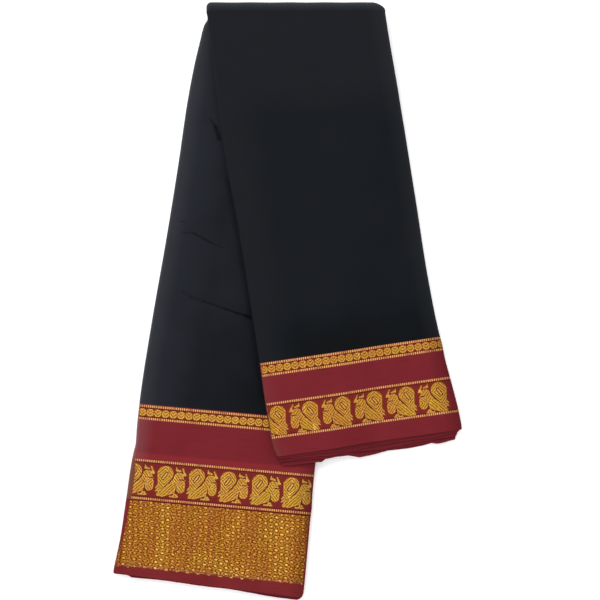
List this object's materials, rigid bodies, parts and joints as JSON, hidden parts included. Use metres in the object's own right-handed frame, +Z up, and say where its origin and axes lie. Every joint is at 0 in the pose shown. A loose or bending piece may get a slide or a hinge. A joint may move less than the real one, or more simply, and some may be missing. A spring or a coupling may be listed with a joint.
{
  "type": "folded saree",
  "caption": "A black saree with maroon borders woven in gold, folded into a long strip and folded over once so that its two ends fan apart as it lies flat",
  "frame": {"origin": "on the surface, under the centre of the bounding box", "axes": "X runs right and Y towards the cross fold as the saree lies, Z up from the surface"},
  "size_m": [0.392, 0.6702, 0.0254],
  "materials": {
    "ground": "soft plain weave, black",
    "border": "maroon plain weave with gold thread figures",
    "brocade": "gold thread brocade on maroon"
  },
  "bodies": {
    "root": {"fold_ground": "ground", "fold_layers": "ground", "front_ground": "ground", "front_layers": "ground", "front_border": "border", "front_border_layers": "border", "back_ground": "ground", "back_layers": "ground", "back_border": "border", "back_brocade": "brocade", "back_border_layers": "border"}
  },
  "joints": []
}
